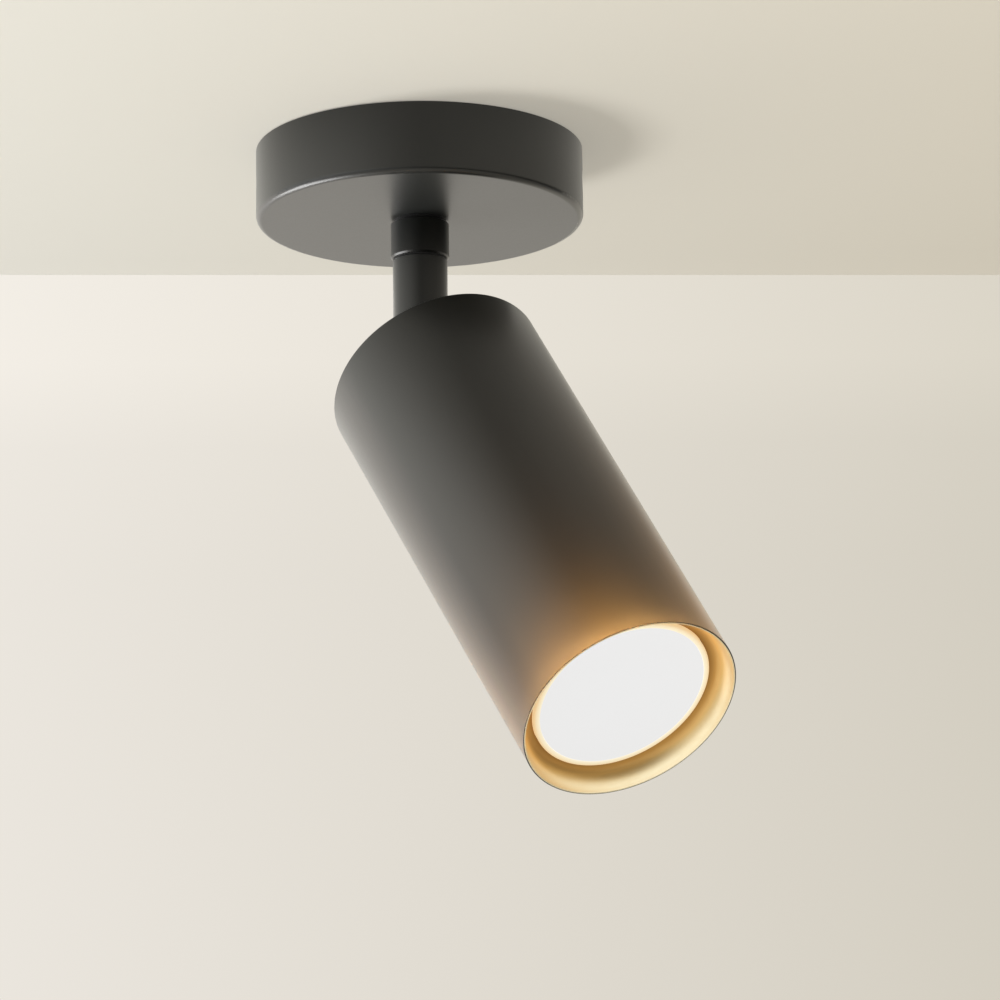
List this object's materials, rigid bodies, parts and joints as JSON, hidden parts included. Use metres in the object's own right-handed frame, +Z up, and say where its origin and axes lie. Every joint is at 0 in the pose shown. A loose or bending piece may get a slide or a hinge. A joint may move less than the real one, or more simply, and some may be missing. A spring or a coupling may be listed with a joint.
{
  "type": "surface mounted ceiling spotlight",
  "caption": "Matte dark grey ceiling spotlight with a round canopy, a swivelling stem and a tilting cylindrical head whose twist-lock lamp sits in a gold trim ring.",
  "frame": {"origin": "centre of the mounting bracket's two ceiling slots, on the ceiling face", "axes": "+Z up into the ceiling, +X along the mounting bracket, +Y to the side of the terminal block"},
  "size_m": [0.1271, 0.1409, 0.1926],
  "materials": {
    "anthracite_paint": "matte",
    "anthracite_aluminium": "matte",
    "black_screw": "satin",
    "black_plastic": "matte",
    "zinc_steel": "satin",
    "spring_steel": "satin",
    "white_plastic": "matte",
    "brass": "satin",
    "tinned_copper": "satin",
    "brown_silicone": "matte",
    "blue_silicone": "matte",
    "green_silicone": "matte",
    "ceramic": "matte",
    "gold_anodised": "satin",
    "frosted_clear": "frosted",
    "lit_diffuser": "opal, lit",
    "lamp_board": "matte",
    "white_lamp_shell": "satin",
    "nickel_pins": "satin"
  },
  "bodies": {
    "canopy": {"canopy_cup": "anthracite_paint", "canopy_screws": "black_screw", "mounting_bracket": "zinc_steel", "terminal_block": "white_plastic", "terminal_clamps": "brass", "terminal_screws": "zinc_steel", "terminal_block_screw": "zinc_steel", "earth_screw": "zinc_steel", "earth_lug": "tinned_copper", "canopy_live_lead": "brown_silicone", "canopy_neutral_lead": "blue_silicone", "canopy_earth_lead": "green_silicone", "bare_conductors": "tinned_copper", "collar": "anthracite_paint", "collar_spacer": "black_plastic", "tab_washer": "zinc_steel", "collar_nut": "zinc_steel"},
    "stem": {"stem": "anthracite_paint", "swivel_spindle": "zinc_steel", "glide_washer": "black_plastic", "stop_washer": "zinc_steel", "cone_spring": "spring_steel", "spindle_nut": "zinc_steel", "edge_bush": "black_plastic", "tilt_screw": "black_screw", "tilt_spring_washer": "spring_steel", "tilt_nut": "zinc_steel", "stem_live_lead": "brown_silicone", "stem_neutral_lead": "blue_silicone", "stem_earth_lead": "green_silicone"},
    "head": {"head_knuckle": "anthracite_paint", "head_tube": "anthracite_paint", "back_cap": "anthracite_aluminium", "tooth_washer": "spring_steel", "knuckle_nut": "zinc_steel", "omega_bracket": "zinc_steel", "bracket_screws": "zinc_steel", "lamp_holder": "ceramic", "holder_contacts": "brass", "holder_screws": "zinc_steel", "head_earth_lug": "tinned_copper", "head_earth_screw": "zinc_steel", "head_earth_nut": "zinc_steel", "head_live_lead": "brown_silicone", "head_neutral_lead": "blue_silicone", "head_earth_lead": "green_silicone", "trim_ring": "gold_anodised"},
    "lamp": {"lamp_bezel": "frosted_clear", "lamp_diffuser": "lit_diffuser", "lamp_board": "lamp_board", "lamp_shell": "white_lamp_shell", "lamp_base": "white_lamp_shell", "lamp_pins": "nickel_pins"}
  },
  "joints": [
    {"name": "swivel", "type": "hinge", "parent": "canopy", "child": "stem", "pos_m": [0, 0, -0.03135], "axis": [0, 0, 1], "range_deg": [-170, 170]},
    {"name": "tilt", "type": "hinge", "parent": "stem", "child": "head", "pos_m": [0, 0, -0.0575], "axis": [-0.788, -0.6157, 0], "range_deg": [-127, 53]},
    {"name": "lamp_twist", "type": "hinge", "parent": "head", "child": "lamp", "pos_m": [0.05235, -0.06701, -0.17035], "axis": [0.3705, -0.4742, -0.7986], "range_deg": [0, 18]}
  ]
}
